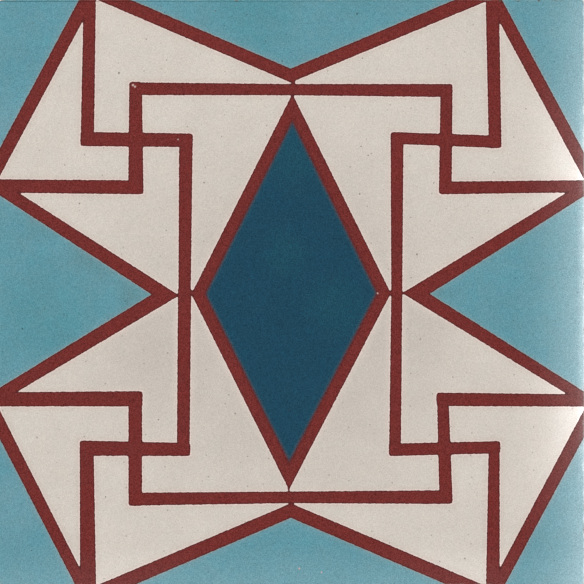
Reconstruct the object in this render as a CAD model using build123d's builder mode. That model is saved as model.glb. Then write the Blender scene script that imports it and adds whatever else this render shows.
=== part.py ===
from build123d import *

from build123d.topology import SkipClean
import os

# Pressed cement floor tile with a geometric strapwork face.
# Millimetres. The tile lies flat, face up. The origin is in the middle of its
# back, +Z points out of the face and +Y runs along the rhombus's long axis.

# The tile
tile_side = 200.0
tile_thickness = 16.0
side_draft = 1.2
corner_radius = 1.0
face_edge_radius = 0.35
back_edge_radius = 0.8

# Pigmented layer of the face: the coloured lines go this deep
pigment_depth = 3.5

# Keyed back: a waffle of shallow pockets with sloping walls
key_count = 6
key_pitch = 28.0
key_side = 23.0
key_corner = 3.0
key_depth = 1.3
key_draft = 35.0

# Face pattern, measured on the centre-lines of the red lines
line_width = 4.3
knot_centre = 52.95
knot_pitch = 16.7
star_notch_y = 74.3
star_notch_x = 42.8
star_upper_tip = (68.5, 103.3)
star_side_tip = (103.5, 37.7)
rhombus_half_width = 31.7
rhombus_half_height = 63.1

# Worked out from the dimensions above
half_side = tile_side / 2
near_line = knot_centre - knot_pitch
far_line = knot_centre + knot_pitch
past_edge = half_side + line_width

# Slab: a tapered block, widest at its face
with BuildPart() as slab:
    with BuildSketch(Plane.XY.offset(tile_thickness)):
        Rectangle(tile_side, tile_side)
    extrude(amount=-tile_thickness, taper=side_draft)
    face_edges = slab.faces().sort_by(Axis.Z)[-1].edges()
    back_edges = slab.faces().sort_by(Axis.Z)[0].edges()
    standing_edges = slab.edges() - face_edges - back_edges
    fillet(standing_edges, radius=corner_radius)
    fillet(slab.faces().sort_by(Axis.Z)[-1].edges(), radius=face_edge_radius)
    fillet(slab.faces().sort_by(Axis.Z)[0].edges(), radius=back_edge_radius)

    # Waffle keys that hold the tile to its mortar bed
    with BuildSketch(Plane.XY):
        with GridLocations(key_pitch, key_pitch, key_count, key_count):
            RectangleRounded(key_side, key_side, key_corner)
    extrude(amount=key_depth, taper=key_draft, mode=Mode.SUBTRACT)

# Red lines of the face, cut to the slab
with BuildPart() as red_lines:
    add(slab.part)
    with BuildSketch(Plane.XY.offset(tile_thickness - pigment_depth)):
        # Star outline, whose points lie just past the tile's edge
        with BuildLine():
            Polyline(
                (0, star_notch_y),
                star_upper_tip,
                star_side_tip,
                (star_notch_x, 0),
            )
            mirror(about=Plane.XZ)
            mirror(about=Plane.YZ)
        trace(line_width=line_width)

        # Side brackets: in from the top edge, down past the rhombus and out again
        with BuildLine():
            Polyline(
                (far_line, past_edge),
                (far_line, knot_centre),
                (near_line, knot_centre),
                (near_line, -knot_centre),
                (far_line, -knot_centre),
                (far_line, -past_edge),
            )
            mirror(about=Plane.YZ)
        trace(line_width=line_width)

        # Top and bottom brackets, which cross the side brackets in four knots
        with BuildLine():
            Polyline(
                (past_edge, near_line),
                (knot_centre, near_line),
                (knot_centre, far_line),
                (-knot_centre, far_line),
                (-knot_centre, near_line),
                (-past_edge, near_line),
            )
            mirror(about=Plane.XZ)
        trace(line_width=line_width)

        # Rhombus in the middle
        with BuildLine():
            Polyline(
                (0, rhombus_half_height),
                (rhombus_half_width, 0),
                (0, -rhombus_half_height),
                (-rhombus_half_width, 0),
                close=True,
            )
        trace(line_width=line_width)
    extrude(amount=2 * pigment_depth, mode=Mode.INTERSECT)

# The tile is one solid. The red lines stay as faces of their own in its
# surface, flush with the fields that they part.
with SkipClean(), BuildPart() as tile:
    add(slab.part)
    add(red_lines.part, clean=False)

tile.part.label = "tile"

os.makedirs("parts", exist_ok=True)
export_step(tile.part, "parts/tile.step")
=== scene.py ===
import math
from functools import partial

import bmesh
import bpy
from bpy.props import FloatProperty, FloatVectorProperty, IntProperty, PointerProperty
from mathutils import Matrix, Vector


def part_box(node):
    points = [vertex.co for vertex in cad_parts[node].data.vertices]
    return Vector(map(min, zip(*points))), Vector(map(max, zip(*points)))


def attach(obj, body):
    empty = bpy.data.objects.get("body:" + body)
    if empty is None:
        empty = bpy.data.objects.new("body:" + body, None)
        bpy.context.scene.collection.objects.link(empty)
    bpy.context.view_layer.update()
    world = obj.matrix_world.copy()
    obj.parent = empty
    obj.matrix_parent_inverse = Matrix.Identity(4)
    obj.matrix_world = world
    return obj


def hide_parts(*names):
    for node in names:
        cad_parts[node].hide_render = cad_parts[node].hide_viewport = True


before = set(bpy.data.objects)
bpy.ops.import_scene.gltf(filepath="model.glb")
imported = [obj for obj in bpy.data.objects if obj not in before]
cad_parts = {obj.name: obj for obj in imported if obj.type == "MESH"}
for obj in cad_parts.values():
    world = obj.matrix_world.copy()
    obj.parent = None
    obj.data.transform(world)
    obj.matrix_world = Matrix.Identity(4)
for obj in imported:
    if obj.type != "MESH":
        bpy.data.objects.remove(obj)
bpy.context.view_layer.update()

bl_info = {
    "name": "Pressed cement tile",
    "version": (1, 0, 0),
    "blender": (4, 5, 0),
    "location": "View3D > Sidebar > Cement tile",
    "description": "Makes a patterned, pressed cement floor tile and the stage that it lies on",
    "category": "Add Mesh",
}

MM = 0.001

# The tile's outside sizes come from the frame, in metres
LOW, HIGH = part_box("tile")
SIDE = HIGH.x - LOW.x
THICKNESS = HIGH.z - LOW.z

# The straps as the hand-made divider mould has them: each corner is its place from the tile's
# middle and the strap's width there, in mm. Where two widths are given, the run that ends there
# has the first and the run that starts there the second
LEFT_STRAP = (
    (-68.6, 104.0, 4.1),
    (-69.5, 52.8, 4.5, 4.8),
    (-35.8, 52.4, 4.6),
    (-36.25, 0.0, 4.15, 4.45),
    (-36.7, -53.3, 4.3, 4.45),
    (-69.7, -52.9, 5.1, 4.7),
    (-69.2, -104.0, 5.5),
)
RIGHT_STRAP = (
    (68.9, 104.0, 4.5),
    (69.9, 51.9, 4.3, 4.2),
    (36.4, 53.1, 4.0, 4.35),
    (36.3, 0.0, 3.7),
    (35.7, -53.4, 4.0, 4.25),
    (69.6, -52.6, 4.1, 3.7),
    (69.1, -104.0, 4.7),
)
UPPER_STRAP = (
    (-104.0, 36.8, 4.5),
    (-52.9, 36.3, 4.7, 5.15),
    (-53.0, 70.0, 4.3),
    (0.0, 69.7, 3.8),
    (53.3, 69.4, 4.4, 4.05),
    (52.9, 36.1, 4.3),
    (104.0, 36.7, 4.1),
)
LOWER_STRAP = (
    (-104.0, -36.2, 4.7),
    (-53.1, -36.0, 5.2, 4.6),
    (-53.1, -70.3, 4.6, 4.35),
    (0.0, -69.7, 3.9),
    (53.1, -69.6, 4.65, 4.45),
    (52.05, -36.2, 3.9, 4.55),
    (104.0, -36.6, 4.1),
)
# Star outline, clockwise from its upper notch: notch, tip, tip, and so on
STAR = (
    (0.0, 74.5, 4.3),
    (68.4, 103.0, 4.65, 4.25),
    (103.5, 37.7, 4.3, 3.95),
    (42.9, 0.0, 5.1, 4.7),
    (103.8, -37.9, 3.6, 4.45),
    (68.8, -103.5, 4.0, 4.8),
    (0.1, -74.2, 4.5),
    (-69.3, -103.7, 4.85, 3.85),
    (-103.4, -37.1, 4.45, 4.1),
    (-42.8, -0.5, 5.15, 4.75),
    (-102.9, 38.3, 4.15, 4.45),
    (-68.0, 103.7, 4.5),
)
# Rhombus, clockwise from its upper tip
RHOMBUS = (
    (0.6, 63.7, 4.0),
    (31.95, 0.1, 4.1),
    (-0.5, -62.5, 4.1),
    (-31.6, -0.2, 4.15),
)
# Bridges, where the sheets of two neighbouring straps touch
BRIDGES = (
    ((0.96, 73.3, 1.0), (0.96, 70.3, 1.0)),
    ((0.62, 68.9, 0.35), (0.62, 65.5, 0.35)),
    ((-0.65, -65.1, 0.3), (-0.65, -69.2, 0.3)),
    ((0.5, -70.3, 0.6), (0.5, -73.0, 0.6)),
    ((-35.8, 0.3, 1.2), (-32.0, 0.3, 1.2)),
    ((32.6, 0.17, 1.2), (36.0, 0.17, 1.2)),
    ((36.7, 0.2, 0.4), (40.8, 0.2, 0.4)),
)

# The divider sat this far too far left and too low in its frame, in mm
PATTERN_SHIFT = (0.3, 0.5)

# Pinholes in the face: place from the middle and radius, in mm
PINHOLES = (
    (-58.7, 75.4, 0.36),
    (22.7, 95.6, 0.34),
    (43.2, 13.3, 0.30),
    (-29.6, 37.9, 0.28),
    (23.6, 34.0, 0.26),
    (80.5, 63.1, 0.24),
    (59.6, -90.6, 0.26),
    (-86.7, -49.2, 0.24),
    (-91.7, -12.1, 0.26),
    (-72.2, 30.8, 0.26),
    (26.5, 47.2, 0.24),
    (-63.3, -69.6, 0.24),
    (-45.2, -43.2, 0.24),
    (-19.0, -41.0, 0.22),
    (44.4, -15.6, 0.22),
    (24.1, 50.3, 0.22),
    (-28.1, -62.6, 0.22),
    (-8.6, 86.3, 0.22),
    (-23.6, 53.7, 0.20),
    (24.6, 80.4, 0.20),
    (59.5, 82.6, 0.18),
    (-88.6, -87.9, 0.20),
)
# Pale dots of lime on the red lines and in the turquoise
LIME_DOTS = (
    (-38.5, 52.7, 0.28),
    (-53.9, 71.2, 0.38),
    (-53.2, 70.7, 0.30),
    (29.8, 0.1, 0.30),
    (3.0, -94.0, 0.30),
    (10.6, -95.3, 0.26),
)
# Grains of brown sand in the turquoise, and brown painted shade in the nicks of the upper edge
BROWN_GRAINS_AND_NICK_SHADE = (
    (-99.2, 100.2, 0.35),
    (-72.3, 100.2, 0.25),
    (-54.6, 100.2, 0.35),
    (-18.5, 100.2, 0.45),
    (71.6, 100.1, 0.40),
    (77.8, 100.1, 0.40),
    (84.9, 100.3, 0.50),
    (91.1, 100.3, 0.30),
    (-25.7, 96.6, 0.22),
    (-24.5, 96.9, 0.16),
    (-2.9, 79.5, 0.26),
    (-5.7, 82.9, 0.16),
    (0.1, 82.4, 0.16),
    (-44.3, 98.3, 0.18),
    (51.0, -91.5, 0.18),
    (-88.0, 92.4, 0.16),
)
# Soft patches: where the cream is dusky, the turquoise deeper, duller or paler, and the blue paler
DUSKY_PATCHES = (
    (0.0, -10.0, 75.0),
    (-38.0, -18.0, 42.0),
    (30.0, -10.0, 38.0),
)
DEEP_PATCHES = (
    (-83.3, -8.0, 20.0),
    (-12.0, 98.0, 20.0),
    (22.0, 108.0, 14.0),
)
DULL_PATCHES = (
    (-53.2, -0.2, 9.0),
    (-68.0, 12.0, 9.0),
    (-86.0, 26.0, 9.0),
    (50.0, -0.2, 7.0),
)
PALE_PATCHES = (
    (-93.0, -72.0, 16.0),
    (-97.0, 59.0, 11.0),
)
DAMP_PATCHES = (
    (-1.2, 13.8, 10.0),
    (15.0, -4.0, 13.0),
    (0.5, 46.0, 14.0),
)
# Chips in the face's upper edge: place along the edge and half-width, in mm
CHIPS = (
    (-98.9, 1.0),
    (-94.7, 0.5),
    (-18.0, 0.9),
    (77.8, 0.9),
    (84.4, 0.8),
    (91.2, 0.5),
)


def linear(code):
    """The linear colour of an sRGB hex code, with a full alpha."""
    channels = [int(code[i : i + 2], 16) / 255 for i in (0, 2, 4)]
    return [c / 12.92 if c <= 0.04045 else ((c + 0.055) / 1.055) ** 2.4 for c in channels] + [1]


def colour(name, description, code):
    """A colour property whose default is an sRGB hex code."""
    return FloatVectorProperty(
        name=name, description=description, subtype="COLOR", size=4, min=0, max=1, default=linear(code)
    )


def length(name, description, default):
    """A length property in metres."""
    return FloatProperty(name=name, description=description, default=default, min=0, unit="LENGTH")


def power(name, description, default):
    """A lamp's power property in watts."""
    return FloatProperty(name=name, description=description, default=default, min=0, unit="POWER")


class TileSizes(bpy.types.PropertyGroup):
    """Sizes of the tile's edges and of its keyed back"""

    corner_radius: length("Corner radius", "Rounding of the four standing corners", 1.0 * MM)
    face_edge_radius: length("Face edge radius", "Rounding of the coloured face's edge", 0.35 * MM)
    back_edge_radius: length("Back edge radius", "Rounding of the back's edge", 0.8 * MM)
    taper: length("Taper", "How much narrower the back is than the face, on each side", 0.33 * MM)
    pigment_depth: length("Pigment depth", "Depth of the coloured layer", 3.5 * MM)
    key_pitch: length("Key pitch", "Distance between two pockets of the back", 28 * MM)
    key_side: length("Key side", "Width of a pocket at its mouth", 23 * MM)
    key_corner: length("Key corner", "Corner radius of a pocket", 3 * MM)
    key_depth: length("Key depth", "Depth of a pocket", 1.3 * MM)
    key_count: IntProperty(name="Key count", description="Pockets along each side", default=6, min=2)


class PigmentColours(bpy.types.PropertyGroup):
    """Colours of the cement mixes"""

    cream: colour("Cream", "White cement with a little ochre", "D4CCC2")
    turquoise: colour("Turquoise", "White cement with a blue-green pigment", "6096A2")
    red: colour("Oxide red", "Cement with red iron oxide", "712622")
    blue: colour("Petrol blue", "Cement with a deep blue pigment", "094258")
    mortar: colour("Mortar", "Grey cement and sand behind the coloured layer", "9A9589")


class StageSettings(bpy.types.PropertyGroup):
    """Floor and light"""

    floor: colour("Floor", "Colour of the floor", "ECEBE9")
    key: power("Key light", "Power of the key light", 10.6)
    fill: power("Fill light", "Power of the fill light", 8.2)
    sky: FloatProperty(name="Sky", description="Strength of the even light all round", default=0.69, min=0)


# Modelling helpers


def edit(piece):
    """Opens one piece in edit mode with nothing selected."""
    bpy.ops.object.select_all(action="DESELECT")
    piece.select_set(True)
    bpy.context.view_layer.objects.active = piece
    bpy.ops.object.mode_set(mode="EDIT")
    bpy.ops.mesh.select_all(action="DESELECT")


def leave_edit():
    bpy.ops.object.mode_set(mode="OBJECT")


def pick(kind, test):
    """Selects only the faces or edges, in edit mode, for which the test is true."""
    bpy.ops.mesh.select_mode(type=kind)
    bpy.ops.mesh.select_all(action="DESELECT")
    mesh = bpy.context.edit_object.data
    shape = bmesh.from_edit_mesh(mesh)
    for item in shape.faces if kind == "FACE" else shape.edges:
        if test(item):
            item.select_set(True)
    bmesh.update_edit_mesh(mesh)


def span(edge):
    """How far an edge runs along X, Y and Z."""
    start, end = (vertex.co for vertex in edge.verts)
    return Vector(abs(a - b) for a, b in zip(start, end))


def faces_up(face):
    return face.normal.z > 0.999


def faces_down(face):
    return face.normal.z < -0.999


def rounds_face(test):
    """A test for edges that bound one of the faces that another test finds."""
    return lambda edge: sum(test(face) for face in edge.link_faces) == 1


def displace(piece, group, grain, depth, lowest, highest, direction="NORMAL"):
    """Moves the vertices of a group by lumps that are about as wide as the grain. The lumps'
    heights between lowest and highest are spread over the depth, and all of it goes inwards."""
    name = f"{group} {direction}"
    texture = bpy.data.textures.new(name, "CLOUDS")
    texture.noise_scale = grain
    texture.noise_depth = 2
    texture.use_color_ramp = True
    low, high = texture.color_ramp.elements
    low.position = lowest
    low.color = (0, 0, 0, 1)
    high.position = highest
    modifier = piece.modifiers.new(name, "DISPLACE")
    modifier.texture = texture
    modifier.texture_coords = "LOCAL"
    modifier.vertex_group = group
    modifier.strength = depth
    modifier.direction = direction
    modifier.mid_level = 1.0 if direction == "NORMAL" else 0.5
    bpy.ops.object.modifier_apply(modifier=name)


def vertex_group(piece, name, weight):
    """A vertex group whose weights come from a function of the vertex's place."""
    group = piece.vertex_groups.new(name=name)
    for vertex in piece.data.vertices:
        share = weight(vertex.co)
        if share > 0:
            group.add([vertex.index], min(share, 1.0), "REPLACE")
    return name


# The tile's mesh


def shape_slab(sizes):
    """The slab without its back: a tapered block with rounded edges, cut fine where it crumbles."""
    column = 0.5 * MM
    row_count = 12
    edge_ring = 0.12 * MM
    bpy.ops.mesh.primitive_cube_add(
        size=1, location=(0, 0, THICKNESS / 2), scale=(SIDE, SIDE, THICKNESS)
    )
    slab = bpy.context.object
    bpy.ops.object.transform_apply(location=True, rotation=False, scale=True)
    edit(slab)
    back_share = 1 - 2 * sizes.taper / SIDE
    pick("FACE", faces_down)
    bpy.ops.transform.resize(value=(back_share, back_share, 1))
    pick("EDGE", lambda edge: span(edge).z > THICKNESS / 2)
    bpy.ops.mesh.bevel(offset=sizes.corner_radius, segments=4, affect="EDGES")
    pick("EDGE", rounds_face(faces_up))
    bpy.ops.mesh.bevel(offset=sizes.face_edge_radius, segments=3, affect="EDGES")
    pick("EDGE", rounds_face(faces_down))
    bpy.ops.mesh.bevel(offset=sizes.back_edge_radius, segments=3, affect="EDGES")
    pick("FACE", faces_up)
    bpy.ops.mesh.inset(thickness=edge_ring)
    pick("FACE", faces_down)
    bpy.ops.mesh.inset(thickness=edge_ring)
    bpy.ops.mesh.delete(type="ONLY_FACE")
    pick("EDGE", lambda edge: span(edge).xy.length > SIDE / 2)
    bpy.ops.mesh.subdivide(number_cuts=round(SIDE / column) - 1)
    pick("EDGE", lambda edge: span(edge).z > THICKNESS / 2)
    bpy.ops.mesh.subdivide(number_cuts=row_count - 1)
    leave_edit()
    return slab


def shape_keys(sizes):
    """The pockets of the back: one rounded dish, and its copies in a square grid."""
    lip = 0.4 * MM
    rim = 0.18 * MM
    wall_slope = math.radians(35)
    wall_run = sizes.key_depth * math.tan(wall_slope) - 2 * rim
    rim_step = 0.8 * MM
    first = -sizes.key_pitch * (sizes.key_count - 1) / 2
    bpy.ops.mesh.primitive_plane_add(size=sizes.key_side + 2 * lip, location=(first, first, 0))
    keys = bpy.context.object
    bpy.ops.object.transform_apply(location=True, rotation=False, scale=True)
    edit(keys)
    bpy.ops.mesh.select_all(action="SELECT")
    bpy.ops.mesh.bevel(offset=sizes.key_corner, segments=6, affect="VERTICES")
    pick("EDGE", lambda edge: span(edge).length > sizes.key_side / 2)
    bpy.ops.mesh.subdivide(number_cuts=round(sizes.key_side / rim_step) - 1)
    pick("FACE", faces_up)
    bpy.ops.mesh.inset(thickness=lip)
    bpy.ops.mesh.inset(thickness=rim, depth=rim / 2)
    bpy.ops.mesh.inset(thickness=wall_run, depth=sizes.key_depth - rim)
    bpy.ops.mesh.inset(thickness=rim, depth=rim / 2)
    bpy.ops.mesh.inset(thickness=lip)
    leave_edit()
    for axis in range(2):
        array = keys.modifiers.new("Grid", "ARRAY")
        array.count = sizes.key_count
        array.use_relative_offset = False
        array.use_constant_offset = True
        array.constant_offset_displace = [sizes.key_pitch if i == axis else 0 for i in range(3)]
        bpy.ops.object.modifier_apply(modifier=array.name)
    return keys


def close_back(slab, keys):
    """Joins the pockets to the slab and fills the flat ribs between them."""
    bpy.ops.object.select_all(action="DESELECT")
    keys.select_set(True)
    slab.select_set(True)
    bpy.context.view_layer.objects.active = slab
    bpy.ops.object.join()
    edit(slab)
    bpy.ops.mesh.select_mode(type="EDGE")
    bpy.ops.mesh.select_non_manifold(
        extend=False, use_wire=False, use_boundary=True, use_multi_face=False,
        use_non_contiguous=False, use_verts=False,
    )
    bpy.ops.mesh.fill(use_beauty=True)
    bpy.ops.mesh.select_all(action="SELECT")
    bpy.ops.mesh.remove_doubles(threshold=0.001 * MM)
    bpy.ops.mesh.normals_make_consistent(inside=False)
    leave_edit()


def wear(tile, sizes):
    """Chips along the face's edge, sandy sides, and crumbly rims round the pockets."""
    half = SIDE / 2
    top = THICKNESS
    strip = 0.7 * MM
    edge_height = 0.5 * MM
    chip_height = 1.2 * MM
    smooth_height = sizes.pigment_depth * 0.6
    sand_fade = 1.5 * MM
    kept_flat = 0.02 * MM
    kept_foot = 0.05 * MM

    def near_side(place):
        return max(abs(place.x), abs(place.y)) > half - strip

    def face_edge(place):
        return 1.0 if near_side(place) and top - edge_height < place.z < top - kept_flat else 0.0

    def chipped(place):
        if place.y < half - strip or place.z < top - chip_height:
            return 0.0
        return max(1 - abs(place.x / MM - middle) / reach for middle, reach in CHIPS)

    def sandy(place):
        below = (top - smooth_height - place.z) / sand_fade
        return below if near_side(place) and place.z > kept_foot else 0.0

    def rims(place):
        on_wall = kept_flat < place.z < sizes.key_depth - kept_flat
        return 1.0 if on_wall and not near_side(place) else 0.0

    bpy.context.view_layer.objects.active = tile
    edge = vertex_group(tile, "Face edge", face_edge)
    displace(tile, edge, grain=1.4 * MM, depth=0.3 * MM, lowest=0.27, highest=0.4)
    chips = vertex_group(tile, "Chips", chipped)
    displace(tile, chips, grain=0.6 * MM, depth=0.8 * MM, lowest=0.5, highest=1.0)
    sides = vertex_group(tile, "Sides", sandy)
    displace(tile, sides, grain=1.8 * MM, depth=0.35 * MM, lowest=0.3, highest=0.7)
    walls = vertex_group(tile, "Rims", rims)
    displace(tile, walls, grain=1.5 * MM, depth=0.5 * MM, lowest=0.2, highest=0.8, direction="X")
    displace(tile, walls, grain=1.9 * MM, depth=0.5 * MM, lowest=0.2, highest=0.8, direction="Y")
    tile.vertex_groups.clear()


def lay_out_map(tile):
    """A UV map for the bake: the face large, the back smaller, the sides as strips."""
    face_share = 0.66
    back_share = 0.33
    margin = 0.006
    side_rim = 0.85 * MM
    strip = face_share * THICKNESS / SIDE + margin
    mesh = tile.data
    uv = mesh.uv_layers.new(name="OFBake").uv
    half = SIDE / 2
    for face in mesh.polygons:
        normal = face.normal
        centre = face.center
        inner = max(abs(centre.x), abs(centre.y)) < half - side_rim
        for loop in face.loop_indices:
            place = mesh.vertices[mesh.loops[loop].vertex_index].co
            across = (place.x / SIDE + 0.5, place.y / SIDE + 0.5)
            if normal.z > 0.5:
                spot = [share * face_share for share in across]
            elif normal.z < -0.5 or inner:
                spot = [face_share + margin + across[0] * back_share, across[1] * back_share]
            else:
                turned = abs(normal.x) > abs(normal.y)
                number = (2 if turned else 0) + (1 if (normal.x if turned else normal.y) > 0 else 0)
                rise = place.z / SIDE * face_share
                spot = [across[1 if turned else 0] * face_share, face_share + margin + number * strip + rise]
            uv[loop].vector = spot


# Materials. Patterns are laid out in mm


def node(tree, kind, inputs=(), out=0, **settings):
    """Adds a node with its settings, gives its inputs values or links, in order or by name, and
    returns one of its outputs, or the node itself."""
    made = tree.nodes.new(kind)
    for key, value in settings.items():
        setattr(made, key, value)
    for key, value in inputs.items() if isinstance(inputs, dict) else enumerate(inputs):
        if isinstance(value, bpy.types.NodeSocket):
            tree.links.new(value, made.inputs[key])
        else:
            made.inputs[key].default_value = value
    return made if out is None else made.outputs[out]


def layered(add, ground, *layers):
    """A ground colour with more laid over it in turn, each given by its share and its colour."""
    for share, over in layers:
        ground = add("ShaderNodeMix", {0: share, 6: ground, 7: over}, out=2, data_type="RGBA")
    return ground


def mottled(add, ground, noise, swing):
    """A colour made lighter and darker by a noise, whose usual swing is given. A third of the
    change is grey, because the white cement and sand in each mix are."""
    usual_swing = 0.12
    grey = add("ShaderNodeRGBToBW", (ground,))
    tone = add("ShaderNodeVectorMath", (grey, (0.5, 0.5, 0.5), ground), operation="MULTIPLY_ADD")
    centred = add("ShaderNodeMath", (noise, 0.5), operation="SUBTRACT")
    share = add("ShaderNodeMath", (centred, swing), operation="MULTIPLY")
    share = add("ShaderNodeMath", (share, 1 / usual_swing), operation="MULTIPLY")
    return add("ShaderNodeVectorMath", (tone, share, ground), operation="MULTIPLY_ADD")


def strip_group():
    """Node group: distance to one straight strip of a strap, with its corners a little rounded."""
    corner_softness = 1.6
    tree = bpy.data.node_groups.new("Strap strip", "ShaderNodeTree")
    sockets = (
        ("Point", "Vector"),
        ("Middle", "Vector"),
        ("Turn", "Vector"),
        ("Half length", "Float"),
        ("Half width", "Float"),
        ("Flare", "Float"),
    )
    for name, kind in sockets:
        tree.interface.new_socket(name=name, in_out="INPUT", socket_type="NodeSocket" + kind)
    tree.interface.new_socket(name="Distance", in_out="OUTPUT", socket_type="NodeSocketFloat")
    add = partial(node, tree)
    given = add("NodeGroupInput", out=None).outputs
    local = add("ShaderNodeMapping", (given["Point"], given["Middle"], given["Turn"]), vector_type="TEXTURE")
    x, y = add("ShaderNodeSeparateXYZ", (local,), out=None).outputs[:2]
    along = add("ShaderNodeMath", (x,), operation="ABSOLUTE")
    along = add("ShaderNodeMath", (along, given["Half length"]), operation="SUBTRACT")
    half_width = add("ShaderNodeMath", (x, given["Flare"], given["Half width"]), operation="MULTIPLY_ADD")
    across = add("ShaderNodeMath", (y,), operation="ABSOLUTE")
    across = add("ShaderNodeMath", (across, half_width), operation="SUBTRACT")
    distance = add("ShaderNodeMath", (along, across, corner_softness), operation="SMOOTH_MAX")
    add("NodeGroupOutput", (distance,), out=None)
    return tree


def strap(add, group, point, corners):
    """Distance to one strap, a chain of straight strips with square corners."""
    distance = None
    for start, end in zip(corners, corners[1:]):
        (x0, y0, *_, w0), (x1, y1, w1, *_) = start, end
        run = math.hypot(x1 - x0, y1 - y0)
        half_width = (w0 + w1) / 4
        sizes = {
            "Point": point,
            "Middle": ((x0 + x1) / 2, (y0 + y1) / 2, 0),
            "Turn": (0, 0, math.atan2(y1 - y0, x1 - x0)),
            "Half length": run / 2 + half_width,
            "Half width": half_width,
            "Flare": (w1 - w0) / (2 * run),
        }
        strip = add("ShaderNodeGroup", sizes, node_tree=group)
        if distance is not None:
            strip = add("ShaderNodeMath", (distance, strip), operation="MINIMUM")
        distance = strip
    return distance


def beyond_line(add, point, start, end, shift):
    """Distance past the line from start to end, on its left, with each end moved left by shift
    times its width."""
    (x0, y0, *_, w0), (x1, y1, w1, *_) = start, end
    run = math.hypot(x1 - x0, y1 - y0)
    left = Vector(((y0 - y1) / run, (x1 - x0) / run))
    first = Vector((x0, y0)) + left * w0 * shift
    second = Vector((x1, y1)) + left * w1 * shift
    way = (second - first).normalized()
    normal = Vector((-way.y, way.x))
    reach = add("ShaderNodeVectorMath", (point, (*normal, 0)), out="Value", operation="DOT_PRODUCT")
    return add("ShaderNodeMath", (reach, normal.dot(first)), operation="SUBTRACT")


def rhombus_field(add, point, shift):
    """Distance outside the rhombus, whose sides are moved outwards by shift times their width."""
    tip_softness = 1.4
    field = None
    for start, end in zip(RHOMBUS, RHOMBUS[1:] + RHOMBUS[:1]):
        side = beyond_line(add, point, start, end, shift)
        if field is not None:
            side = add("ShaderNodeMath", (field, side, tip_softness), operation="SMOOTH_MAX")
        field = side
    return field


def star_field(add, point, shift):
    """Distance outside the star, whose sides are moved outwards by shift times their width."""
    notch_softness = 0.4
    corners = zip(STAR, STAR[1:] + STAR[:1])
    sides = [beyond_line(add, point, start, end, shift) for start, end in corners]
    field = None
    for i in range(0, len(sides), 3):
        notch = (sides[i - 1], sides[i], notch_softness)
        quarter = add("ShaderNodeMath", notch, operation="SMOOTH_MIN")
        quarter = add("ShaderNodeMath", (quarter, sides[i + 1]), operation="MAXIMUM")
        if field is not None:
            quarter = add("ShaderNodeMath", (field, quarter), operation="MAXIMUM")
        field = quarter
    return field


def ruled_band(add, outer, inner):
    """Distance to the band between an outer and an inner outline."""
    inner = add("ShaderNodeMath", (inner, -1), operation="MULTIPLY")
    return add("ShaderNodeMath", (outer, inner), operation="MAXIMUM")


def spots(add, point, marks):
    """Distance to the edge of the nearest of some round marks."""
    nearest = None
    for x, y, radius in marks:
        reach = add("ShaderNodeVectorMath", (point, (x, y, 0)), out="Value", operation="DISTANCE")
        edge = add("ShaderNodeMath", (reach, radius), operation="SUBTRACT")
        nearest = edge if nearest is None else add("ShaderNodeMath", (nearest, edge), operation="MINIMUM")
    return nearest


def patches(add, point, marks):
    """How fully soft-edged patches cover a point."""
    outside, full = 1.15, 0.2
    nearest = None
    for x, y, radius in marks:
        reach = add("ShaderNodeVectorMath", (point, (x, y, 0)), out="Value", operation="DISTANCE")
        share = add("ShaderNodeMath", (reach, 1 / radius), operation="MULTIPLY")
        nearest = share if nearest is None else add("ShaderNodeMath", (nearest, share), operation="MINIMUM")
    return add("ShaderNodeMapRange", (nearest, outside, full), interpolation_type="SMOOTHSTEP")


def seams(add, point):
    """Distances to the seams between the mixes: to the red lines, and out of the rhombus and the
    star. The red has spread by half a tenth of a millimetre past its sheets."""
    group = strip_group()
    junction_softness = 1.0
    spread = 0.05
    lines = ruled_band(add, star_field(add, point, 0.5), star_field(add, point, -0.5))
    rhombus_inside = rhombus_field(add, point, -0.5)
    rhombus = ruled_band(add, rhombus_field(add, point, 0.5), rhombus_inside)
    chains = (LEFT_STRAP, RIGHT_STRAP, UPPER_STRAP, LOWER_STRAP, *BRIDGES)
    straps = [strap(add, group, point, corners) for corners in chains]
    for band in (rhombus, *straps):
        lines = add("ShaderNodeMath", (lines, band, junction_softness), operation="SMOOTH_MIN")
    lines = add("ShaderNodeMath", (lines, spread), operation="SUBTRACT")
    lines = add("ShaderNodeMath", (lines, rhombus_inside), operation="MINIMUM")
    return lines, rhombus_inside, star_field(add, point, 0)


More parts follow.
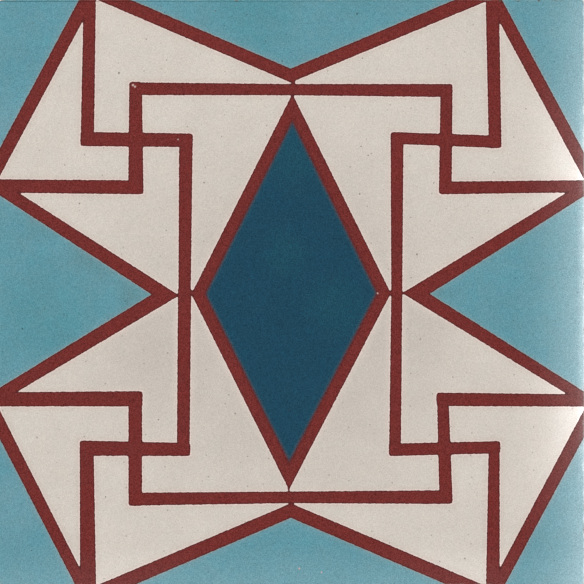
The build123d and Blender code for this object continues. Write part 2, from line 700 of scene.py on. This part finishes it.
def painted_glare(add, point):
    """How much painted glare pales the face: a painted highlight along its right edge, most at mid-height,
    and a little along its lower edge. The last half millimetre on the right is painted white as glare.
    The sides have none."""
    right_start, right_end, steepness = 68, 101, 3
    upper_start, upper_end, upper_share = 60, 100, 0.6
    edge_glare_start, edge_glare_end, edge_glare_peak = 100.4, 101.1, 1.6
    thick_start, thick_glare = 98.2, 0.45
    middle_end, middle_height = 76, 50
    lower_start, lower_end, lower_glare = -86, -100, 0.2
    face_start, face_height = 15.0, 15.8
    waver = 1.4
    x, y, z = add("ShaderNodeSeparateXYZ", (point,), out=None).outputs
    right = add("ShaderNodeMapRange", (x, right_start, right_end))
    right = add("ShaderNodeMath", (right, steepness), operation="POWER")
    upper = add("ShaderNodeMapRange", (y, upper_start, upper_end, 1, upper_share))
    right = add("ShaderNodeMath", (right, upper), operation="MULTIPLY")
    wander = add("ShaderNodeTexNoise", {"Vector": point, "Scale": 1 / 3})
    wavy = add("ShaderNodeMath", (wander, waver, x), operation="MULTIPLY_ADD")
    edge_glare = (wavy, edge_glare_start, edge_glare_end, 0, edge_glare_peak)
    edge_glare = add("ShaderNodeMapRange", edge_glare, interpolation_type="SMOOTHSTEP")
    thick = (wavy, thick_start, edge_glare_start, 0, thick_glare)
    thick = add("ShaderNodeMapRange", thick, interpolation_type="SMOOTHSTEP")
    height = add("ShaderNodeMath", (y,), operation="ABSOLUTE")
    middle = (height, middle_end, middle_height)
    middle = add("ShaderNodeMapRange", middle, interpolation_type="SMOOTHSTEP")
    lower = add("ShaderNodeMapRange", (y, lower_start, lower_end, 0, lower_glare))
    glare = add("ShaderNodeMath", (thick, middle, right), operation="MULTIPLY_ADD")
    glare = add("ShaderNodeMath", (glare, edge_glare), operation="ADD")
    glare = add("ShaderNodeMath", (glare, lower), operation="ADD")
    on_face = (z, face_start, face_height)
    on_face = add("ShaderNodeMapRange", on_face, interpolation_type="SMOOTHSTEP")
    return add("ShaderNodeMath", (glare, on_face), operation="MULTIPLY")


def mixes(add, point, flat, colours, lines, rhombus_inside):
    """Colours of the four mixes, with the stains along their seams and their soft patches."""
    # Red has stained its neighbours along the seams, lime has gathered in a hairline outside each,
    # and the red is darkest just inside, over a wider strip towards the blue
    stained = add("ShaderNodeMapRange", (lines, 2.6, 0.3), interpolation_type="SMOOTHSTEP")
    faint_share = 0.35
    faint_stain = add("ShaderNodeMath", (stained, faint_share), operation="MULTIPLY")
    hairline = add("ShaderNodeMapRange", (lines, 0.42, 0.2), interpolation_type="SMOOTHSTEP")
    rim = add("ShaderNodeMapRange", (lines, -0.51, -0.31), interpolation_type="SMOOTHSTEP")
    not_by_blue = (rhombus_inside, 0.9, 1.3)
    not_by_blue = add("ShaderNodeMapRange", not_by_blue, interpolation_type="SMOOTHSTEP")
    rim = add("ShaderNodeMath", (rim, not_by_blue), operation="MULTIPLY")
    by_blue = (rhombus_inside, 0.95, 0.1, 0, 0.7)
    by_blue = add("ShaderNodeMapRange", by_blue, interpolation_type="SMOOTHSTEP")
    rim = add("ShaderNodeMath", (rim, by_blue), operation="MAXIMUM")
    blue_stained = (rhombus_inside, -1.4, -0.7)
    blue_stained = add("ShaderNodeMapRange", blue_stained, interpolation_type="SMOOTHSTEP")

    # Each mix dries unevenly, in patches of 10 to 70 mm whose outlines wander by a few millimetres
    reach = 14
    drift = {"Vector": point, "Scale": 1 / 9, "Detail": 3}
    wander = add("ShaderNodeTexNoise", drift, out="Color")
    astray = (wander, (reach, reach, 0), flat)
    astray = add("ShaderNodeVectorMath", astray, operation="MULTIPLY_ADD")
    astray = add("ShaderNodeVectorMath", (astray, (-reach / 2, -reach / 2, 0)), operation="ADD")
    dusky = patches(add, astray, DUSKY_PATCHES)
    deep = patches(add, astray, DEEP_PATCHES)
    dull = patches(add, astray, DULL_PATCHES)
    pale = patches(add, astray, PALE_PATCHES)
    damp = patches(add, astray, DAMP_PATCHES)

    cream = layered(
        add,
        colours.cream,
        (dusky, linear("C8BFB6")),
        (stained, linear("D1C5BB")),
        (hairline, linear("E8D2CA")),
    )
    turquoise = layered(
        add,
        colours.turquoise,
        (deep, linear("56909B")),
        (dull, linear("618E97")),
        (pale, linear("699AA6")),
        (faint_stain, linear("7798A0")),
        (hairline, linear("8A989B")),
    )
    red = layered(add, colours.red, (rim, linear("581A19")))
    blue = layered(add, colours.blue, (damp, linear("0B485B")), (blue_stained, linear("264757")))
    return cream, turquoise, red, blue


def grained(add, point, pigment, *layers):
    """A pigment made cloudy and grainy, with its tint varied, and the grain. The layers say where
    turquoise, red and blue are."""
    # How much the grain and the tint vary in each mix, as the red and green of a colour
    cream_swings = (0.080, 0.010, 0, 1)
    other_swings = (0.15, 0.05, 0, 1), (0.36, 0.04, 0, 1), (0.28, 0.10, 0, 1)
    swings = layered(add, cream_swings, *zip(layers, other_swings))
    grain_swing, tint_swing = add("ShaderNodeSeparateColor", (swings,), out=None).outputs[:2]
    cloud_swing = 0.011
    clouds = add("ShaderNodeTexNoise", {"Vector": point, "Scale": 1 / 14, "Detail": 3})
    pigment = mottled(add, pigment, clouds, cloud_swing)
    grain = {"Vector": point, "Scale": 1 / 0.24, "Detail": 2, "Roughness": 0.6}
    grain = add("ShaderNodeTexNoise", grain)
    pigment = mottled(add, pigment, grain, grain_swing)
    tint = {"Vector": point, "Scale": 1 / 8, "Detail": 3, "Roughness": 0.75}
    tint = add("ShaderNodeTexNoise", tint)
    tint = add("ShaderNodeMapRange", (tint, 0.38, 0.62, -1, 1), clamp=False)
    tint = add("ShaderNodeMath", (tint, tint_swing), operation="MULTIPLY")
    warmer = {"Vector": (1, -0.2, -0.35), "Scale": tint}
    warmer = add("ShaderNodeVectorMath", warmer, operation="SCALE")
    return add("ShaderNodeVectorMath", (warmer, pigment, pigment), operation="MULTIPLY_ADD"), grain


def marked(add, point, from_top, pigment):
    """A pigment with specks, pinholes darkened by painted shade, brown grains, brown painted shade in the
    nicks of the upper edge and dots of lime, and the pinholes.
    """
    # Dark specks of sand, up to 0.5 mm across, one in each 7 mm or so
    speck_pitch = 7.0
    speck_size = 0.26
    cells = {"Vector": point, "Scale": 1 / speck_pitch}
    cells = add("ShaderNodeTexVoronoi", cells, out=None, voronoi_dimensions="2D").outputs
    own_size = add("ShaderNodeSeparateColor", (cells["Color"],))
    own_size = add("ShaderNodeMath", (own_size, speck_size / speck_pitch), operation="MULTIPLY")
    edge = add("ShaderNodeMath", (cells["Distance"], own_size), operation="SUBTRACT")
    speck = (edge, 0.012, -0.012, 0, 0.45)
    speck = add("ShaderNodeMapRange", speck, interpolation_type="SMOOTHSTEP")

    # Marks with a soft rim of about a tenth of a millimetre, some of them half covered
    rim = 0.12
    pinhole_painted_shade = 0.6
    grit_and_nick_shade_cover = 0.8
    hole = (spots(add, from_top, PINHOLES), rim, -rim)
    hole = add("ShaderNodeMapRange", hole, interpolation_type="SMOOTHSTEP")
    # Painted shade darkens the pinholes, standing in for the shade that falls into them
    painted_pit_shade = add("ShaderNodeMath", (hole, pinhole_painted_shade), operation="MULTIPLY")
    # Brown grains of sand, and brown painted shade in the nicks of the upper edge
    grit_and_nick_shade = (spots(add, from_top, BROWN_GRAINS_AND_NICK_SHADE), rim, -rim, 0, grit_and_nick_shade_cover)
    grit_and_nick_shade = add("ShaderNodeMapRange", grit_and_nick_shade, interpolation_type="SMOOTHSTEP")
    dot_rim = 0.15
    dots = (spots(add, from_top, LIME_DOTS), dot_rim, -dot_rim)
    dots = add("ShaderNodeMapRange", dots, interpolation_type="SMOOTHSTEP")
    marks = (
        (speck, linear("3A342F")),
        (painted_pit_shade, linear("100E0C")),
        (grit_and_nick_shade, linear("54483D")),
        (dots, linear("C9A9A4")),
    )
    return layered(add, pigment, *marks), hole


def pigmented_face(add, point, colours):
    """Colour, grain and pits of the pressed face. The mixes are dense and fine, so each field is
    even, with a faint cloudiness, a fine grain, specks of sand and a few pinholes."""
    # The divider's sheet metal leaves a ragged seam, with steps of about 0.1 mm every 0.8 mm
    seam_step = 0.4
    back = -seam_step / 2
    lumps = add("ShaderNodeTexNoise", {"Vector": point, "Scale": 1 / 0.8, "Detail": 1}, out="Color")
    ragged = (lumps, (seam_step, seam_step, 0), point)
    ragged = add("ShaderNodeVectorMath", ragged, operation="MULTIPLY_ADD")
    flat = (ragged, (1, 1, 0), (back, back, 0))
    flat = add("ShaderNodeVectorMath", flat, operation="MULTIPLY_ADD")
    from_top = (ragged, (back, back, -THICKNESS / MM))
    from_top = add("ShaderNodeVectorMath", from_top, operation="ADD")
    lines, rhombus_inside, star_outside = seams(add, flat)

    # Which mix is where. The blue takes up a little red along its seam
    crisp = 0.03
    is_turquoise = (star_outside, -crisp, crisp)
    is_turquoise = add("ShaderNodeMapRange", is_turquoise, interpolation_type="SMOOTHSTEP")
    is_red = add("ShaderNodeMapRange", (lines, crisp, -crisp), interpolation_type="SMOOTHSTEP")
    is_blue = (rhombus_inside, 0.35, -0.85)
    is_blue = add("ShaderNodeMapRange", is_blue, interpolation_type="SMOOTHSTEP")
    where = is_turquoise, is_red, is_blue
    cream, *others = mixes(add, point, flat, colours, lines, rhombus_inside)
    pigment = layered(add, cream, *zip(where, others))
    pigment, grain = grained(add, point, pigment, *where)
    pigment, hole = marked(add, point, from_top, pigment)

    # The painted glare pales each mix nearly in proportion to how light it is
    lightness = add("ShaderNodeRGBToBW", (pigment,))
    share = add("ShaderNodeMapRange", (lightness, 0, 0.6, 0.035, 0.545))
    # Painted glare: a whitish highlight added over the colour towards the right and lower edges
    glare_veil = add("ShaderNodeMath", (share, painted_glare(add, point)), operation="MULTIPLY")
    return add("ShaderNodeVectorMath", (pigment, glare_veil), operation="ADD"), grain, hole


def sand(add, point, pitch, share):
    """How fully grains of sand cover a point, and how light they are. They sit about the pitch
    apart, in mm, and only a share of them is there."""
    smallest, largest = 0.16, 0.42
    soft = 0.04
    bent = add("ShaderNodeTexNoise", {"Vector": point, "Scale": 1 / pitch, "Detail": 2}, out="Color")
    bent = (bent, (pitch / 2, pitch / 2, pitch / 2), point)
    bent = add("ShaderNodeVectorMath", bent, operation="MULTIPLY_ADD")
    cells = add("ShaderNodeTexVoronoi", {"Vector": bent, "Scale": 1 / pitch}, out=None).outputs
    tone, chance, size = add("ShaderNodeSeparateColor", (cells["Color"],), out=None).outputs
    radius = add("ShaderNodeMapRange", (size, 0, 1, smallest, largest))
    edge = add("ShaderNodeMath", (cells["Distance"], radius), operation="SUBTRACT")
    cover = add("ShaderNodeMapRange", (edge, soft, -soft), interpolation_type="SMOOTHSTEP")
    there = add("ShaderNodeMath", (chance, share), operation="LESS_THAN")
    return add("ShaderNodeMath", (cover, there), operation="MULTIPLY"), tone


def grey_mortar(add, point, colours):
    """Colour and height of the grey mortar: cement paste with sand of 0.3 to 0.8 mm, a few grains
    of 1 to 2.5 mm, and pores where the dry mix wasn't pressed shut, darkened by painted shade."""
    fine_pitch, fine_share, fine_cover = 0.9, 0.65, 0.7
    coarse_pitch, coarse_share, coarse_cover = 3.0, 0.4, 0.75
    flour_swing = 0.08
    pore_painted_shade = 0.55
    fine_height, pit_depth = 0.5, 1.5
    fine, fine_tone = sand(add, point, fine_pitch, fine_share)
    coarse, coarse_tone = sand(add, point, coarse_pitch, coarse_share)
    fine_sand = layered(add, linear("6E675C"), (fine_tone, linear("C9BFAC")))
    coarse_sand = layered(add, linear("736B61"), (coarse_tone, linear("BDB3A2")))
    clouds = {"Vector": point, "Scale": 1 / 6, "Detail": 4, "Roughness": 0.6}
    clouds = add("ShaderNodeTexNoise", clouds)
    damp = add("ShaderNodeMapRange", (clouds, 0.35, 0.65), interpolation_type="SMOOTHSTEP")
    paste = layered(add, colours.mortar, (damp, linear("8B867B")))
    flour = {"Vector": point, "Scale": 1 / 0.5, "Detail": 3, "Roughness": 0.6}
    flour = add("ShaderNodeTexNoise", flour)
    paste = mottled(add, paste, flour, flour_swing)
    pores = {"Vector": point, "Scale": 1 / 1.3, "Detail": 3, "Roughness": 0.65}
    pores = add("ShaderNodeTexNoise", pores)
    pit = add("ShaderNodeMapRange", (pores, 0.38, 0.3), interpolation_type="SMOOTHSTEP")
    fine_layer = add("ShaderNodeMath", (fine, fine_cover), operation="MULTIPLY")
    coarse_layer = add("ShaderNodeMath", (coarse, coarse_cover), operation="MULTIPLY")
    # Painted shade darkens the pores, standing in for the shade that falls into them
    painted_pit_shade = add("ShaderNodeMath", (pit, pore_painted_shade), operation="MULTIPLY")
    layers = (
        (fine_layer, fine_sand),
        (coarse_layer, coarse_sand),
        (painted_pit_shade, linear("1A1815")),
    )
    height = add("ShaderNodeMath", (fine, fine_height, coarse), operation="MULTIPLY_ADD")
    height = add("ShaderNodeMath", (pit, -pit_depth, height), operation="MULTIPLY_ADD")
    return layered(add, paste, *layers), height


def tile_material(sizes, colours):
    """Pressed pigmented cement: matt, dense and fine-grained, in flat fields with crisp seams,
    over coarse grey sand mortar on the lower sides and the back."""
    made = bpy.data.materials.new("Pressed pigmented cement")
    made.use_nodes = True
    made.node_tree.nodes.clear()
    add = partial(node, made.node_tree)
    place = add("ShaderNodeTexCoord", out="Object")
    in_mm = {"Vector": place, "Location": (*PATTERN_SHIFT, 0), "Scale": (1 / MM, 1 / MM, 1 / MM)}
    point = add("ShaderNodeMapping", in_mm)
    face, grain, hole = pigmented_face(add, point, colours)
    mortar, mortar_height = grey_mortar(add, point, colours)

    # The border between the coloured layer and the mortar wavers by about half a millimetre
    waver = 2.4
    crisp = 0.1
    border = (THICKNESS - sizes.pigment_depth) / MM + waver / 2
    z = add("ShaderNodeSeparateXYZ", (point,), out="Z")
    lumps = add("ShaderNodeTexNoise", {"Vector": point, "Scale": 1 / 5, "Detail": 3})
    height = add("ShaderNodeMath", (lumps, waver, z), operation="MULTIPLY_ADD")
    is_mortar = (height, border + crisp, border - crisp)
    is_mortar = add("ShaderNodeMapRange", is_mortar, interpolation_type="SMOOTHSTEP")

    # Stacking has rubbed some grey mortar over the coloured layer's sides
    face_start, side_start = 15.8, 15.1
    least, most = 0.05, 0.75
    smears = {"Vector": point, "Scale": 1 / 3, "Detail": 4, "Roughness": 0.65}
    smears = add("ShaderNodeTexNoise", smears)
    rubbed = (smears, 0.45, 0.7, least, most)
    rubbed = add("ShaderNodeMapRange", rubbed, interpolation_type="SMOOTHSTEP")
    on_side = (z, face_start, side_start)
    on_side = add("ShaderNodeMapRange", on_side, interpolation_type="SMOOTHSTEP")
    rubbed = add("ShaderNodeMath", (rubbed, on_side), operation="MULTIPLY")
    body = layered(add, face, (rubbed, colours.mortar), (is_mortar, mortar))

    # Bump: the face's grain and pinholes, and the mortar's sand and pores
    hole_depth = 5
    face_relief = 0.012 * MM
    mortar_relief = 0.12 * MM
    fine = add("ShaderNodeMath", (hole, -hole_depth, grain), operation="MULTIPLY_ADD")
    fine = add("ShaderNodeBump", {"Height": fine, "Distance": face_relief})
    coarse = add("ShaderNodeMath", (mortar_height, is_mortar), operation="MULTIPLY")
    coarse = {"Height": coarse, "Distance": mortar_relief, "Normal": fine}
    coarse = add("ShaderNodeBump", coarse)

    # The press has smoothed the face, and the mortar is rougher
    smoothest, roughest, rougher = 0.46, 0.58, 0.35
    sheen = add("ShaderNodeMapRange", (grain, 0.2, 0.8, smoothest, roughest))
    matt = add("ShaderNodeMath", (is_mortar, rougher, sheen), operation="MULTIPLY_ADD")
    cement = {
        "Base Color": body,
        "Roughness": matt,
        "IOR": 1.5,
        "Specular IOR Level": 0.2,
        "Normal": coarse,
    }
    surface = add("ShaderNodeBsdfPrincipled", cement)
    add("ShaderNodeOutputMaterial", {"Surface": surface}, out=None)
    return made


class CEMENTTILE_OT_tile(bpy.types.Operator):
    """Make the pressed tile"""

    bl_idname = "cement_tile.tile"
    bl_label = "Pressed tile"

    def execute(self, context):
        sizes = context.scene.tile_sizes
        colours = context.scene.pigment_colours
        slab = shape_slab(sizes)
        close_back(slab, shape_keys(sizes))
        wear(slab, sizes)
        slab.name = "pressed_tile"
        slab.data.name = "pressed_tile"
        bpy.ops.object.shade_smooth_by_angle(angle=math.radians(40))
        lay_out_map(slab)
        slab.data.materials.append(tile_material(sizes, colours))
        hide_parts("tile")
        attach(slab, "root")
        return {"FINISHED"}


def area_light(name, place, size, energy):
    """A square soft light that points at the tile's middle."""
    bpy.ops.object.light_add(type="AREA", location=place)
    light = bpy.context.object
    light.name = name
    light.data.size = size
    light.data.energy = energy
    light.rotation_euler = (-Vector(place)).to_track_quat("-Z", "Y").to_euler()


class CEMENTTILE_OT_stage(bpy.types.Operator):
    """Make the floor, the lights and the camera"""

    bl_idname = "cement_tile.stage"
    bl_label = "Stage"

    def execute(self, context):
        stage = context.scene.stage_settings
        scene = context.scene
        scene.view_settings.view_transform = "Standard"

        # Just below the back, whose ribs would otherwise lie in the floor's own plane
        gap = 0.05 * MM
        floor_side = 6
        bpy.ops.mesh.primitive_plane_add(size=floor_side, location=(0, 0, LOW.z - gap))
        floor = bpy.context.object
        floor.name = "floor"
        paper = bpy.data.materials.new("Matt painted board")
        paper.use_nodes = True
        paper.node_tree.nodes.clear()
        add = partial(node, paper.node_tree)
        surface = add("ShaderNodeBsdfPrincipled", {"Base Color": stage.floor, "Roughness": 0.8})
        add("ShaderNodeOutputMaterial", {"Surface": surface}, out=None)
        floor.data.materials.append(paper)

        area_light("key", place=(-1.0, 1.0, 0.8), size=1.2, energy=stage.key)
        area_light("fill", place=(1.1, -0.9, 0.8), size=1.4, energy=stage.fill)
        world = bpy.data.worlds.new("Soft studio")
        world.use_nodes = True
        background = world.node_tree.nodes["Background"].inputs
        background["Strength"].default_value = stage.sky
        background["Color"].default_value = (1, 1, 1, 1)
        scene.world = world

        # A long lens straight above. Its frame is 584 pixels of 0.3419 mm, and leaves out 0.3 mm of
        # the tile at the left and 0.2 mm at the top and the bottom
        frame_width = 199.66 * MM
        middle = (0.18 * MM, 0.01 * MM)
        lens = 300
        sensor = 36
        distance = frame_width * lens / sensor
        bpy.ops.object.camera_add(location=(*middle, HIGH.z + distance), rotation=(0, 0, 0))
        camera = bpy.context.object
        camera.data.lens = lens
        camera.data.sensor_width = sensor
        scene.camera = camera
        return {"FINISHED"}


class CEMENTTILE_PT_panel(bpy.types.Panel):
    """Lists the tile's parts"""

    bl_label = "Cement tile"
    bl_idname = "CEMENTTILE_PT_panel"
    bl_space_type = "VIEW_3D"
    bl_region_type = "UI"
    bl_category = "Cement tile"

    def draw(self, context):
        for operator in (CEMENTTILE_OT_tile, CEMENTTILE_OT_stage):
            self.layout.operator(operator.bl_idname)


CLASSES = (
    TileSizes,
    PigmentColours,
    StageSettings,
    CEMENTTILE_OT_tile,
    CEMENTTILE_OT_stage,
    CEMENTTILE_PT_panel,
)


def register():
    for item in CLASSES:
        bpy.utils.register_class(item)
    bpy.types.Scene.tile_sizes = PointerProperty(type=TileSizes)
    bpy.types.Scene.pigment_colours = PointerProperty(type=PigmentColours)
    bpy.types.Scene.stage_settings = PointerProperty(type=StageSettings)


def unregister():
    del bpy.types.Scene.stage_settings
    del bpy.types.Scene.pigment_colours
    del bpy.types.Scene.tile_sizes
    for item in reversed(CLASSES):
        bpy.utils.unregister_class(item)


def main():
    register()
    bpy.ops.cement_tile.tile()
    bpy.ops.cement_tile.stage()


if __name__ == "__main__":
    main()
